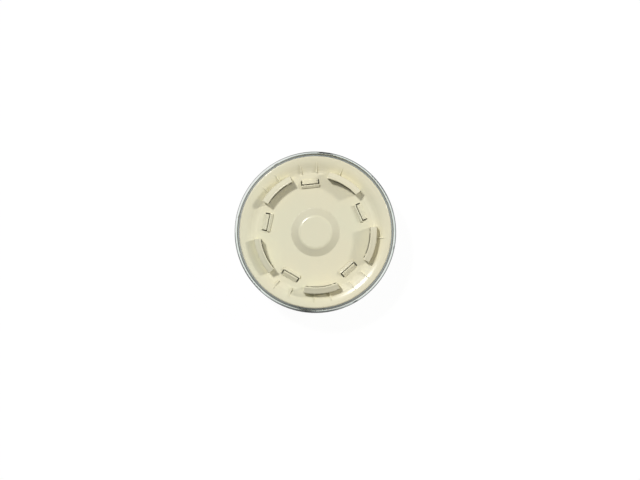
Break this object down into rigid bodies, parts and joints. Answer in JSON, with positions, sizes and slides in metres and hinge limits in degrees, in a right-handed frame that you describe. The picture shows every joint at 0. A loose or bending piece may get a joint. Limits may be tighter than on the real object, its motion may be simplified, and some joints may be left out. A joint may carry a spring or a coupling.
{
  "type": "heat detector",
  "caption": "Round ceiling heat detector: glossy dished face with hollow fins and clip windows, bright trim ring, twist-lock base and spring and diaphragm contacts.",
  "frame": {"origin": "centre of the mounting face, on the ceiling side", "axes": "+Z from the ceiling towards the room, out of the face; +Y towards the top of the face; +X towards its right"},
  "size_m": [0.1, 0.1, 0.0384],
  "materials": {
    "cream_plastic": "glossy moulded",
    "trim_chrome": "polished",
    "contact_steel": "satin",
    "plated_steel": "bright zinc plated",
    "brass": "satin",
    "aluminium": "spun satin",
    "gasket_rubber": "matt",
    "solder": "dull cast",
    "phosphor_bronze": "bright rolled",
    "insulator": "matt moulded",
    "silver": "polished",
    "wire_insulation": "smooth"
  },
  "bodies": {
    "base": {"mounting_base": "cream_plastic", "base_contact_1": "contact_steel", "base_contact_2": "contact_steel", "base_contact_3": "contact_steel", "base_contact_4": "contact_steel", "terminal_clamps": "plated_steel", "terminal_screws": "plated_steel"},
    "head": {"rear_housing": "cream_plastic", "front_cover": "cream_plastic", "chassis": "cream_plastic", "trim_ring": "trim_chrome", "head_blade_1": "brass", "head_blade_2": "brass", "head_blade_3": "brass", "head_blade_4": "brass", "blade_rivets": "brass", "chassis_screws": "plated_steel", "chamber_dome": "aluminium", "dome_gasket": "gasket_rubber", "dome_screws": "plated_steel", "leak_vent": "brass", "sleeve_seal": "gasket_rubber", "plunger_sleeve": "brass", "sleeve_nut": "brass", "heat_collector": "aluminium", "fusible_slug": "solder", "plunger_spring": "contact_steel", "diaphragm_gasket": "gasket_rubber", "diaphragm": "phosphor_bronze", "diaphragm_clamp": "aluminium", "clamp_screws": "plated_steel", "contact_block": "insulator", "block_screws": "plated_steel", "fixed_contact_block": "insulator", "fixed_block_screws": "plated_steel", "rate_leaf_tab": "brass", "temp_leaf_tab": "brass", "rate_fixed_contact": "brass", "temp_fixed_contact": "brass", "contact_adjusters": "brass", "lead_wires": "wire_insulation"},
    "plunger": {"plunger": "contact_steel"},
    "temp_leaf": {"temp_contact_leaf": "phosphor_bronze", "temp_contact_point": "silver"},
    "rate_stud": {"diaphragm_stud": "insulator"},
    "rate_leaf": {"rate_contact_leaf": "phosphor_bronze", "rate_contact_point": "silver"}
  },
  "joints": [
    {"name": "head_twist", "type": "hinge", "parent": "base", "child": "head", "pos_m": [0, 0, 0], "axis": [0, 0, 1], "range_deg": [0, 18.5]},
    {"name": "plunger_drop", "type": "slide", "parent": "head", "child": "plunger", "axis": [0, 0, -1], "range_m": [0, 0.0012], "deforming": ["plunger_spring"]},
    {"name": "temp_leaf_bend", "type": "hinge", "parent": "head", "child": "temp_leaf", "pos_m": [0, -0.017, 0.0159], "axis": [-1, 0, 0], "range_deg": [0, 5]},
    {"name": "diaphragm_stroke", "type": "slide", "parent": "head", "child": "rate_stud", "axis": [0, 0, -1], "range_m": [0, 0.0008]},
    {"name": "rate_leaf_bend", "type": "hinge", "parent": "head", "child": "rate_leaf", "pos_m": [-0.018, -0.017, 0.0159], "axis": [-1, 0, 0], "range_deg": [0, 3]}
  ],
  "couplings": [
    {"joint": "temp_leaf_bend", "follows": "plunger_drop", "rad_per_m": 58.824},
    {"joint": "rate_leaf_bend", "follows": "diaphragm_stroke", "rad_per_m": 58.824}
  ]
}
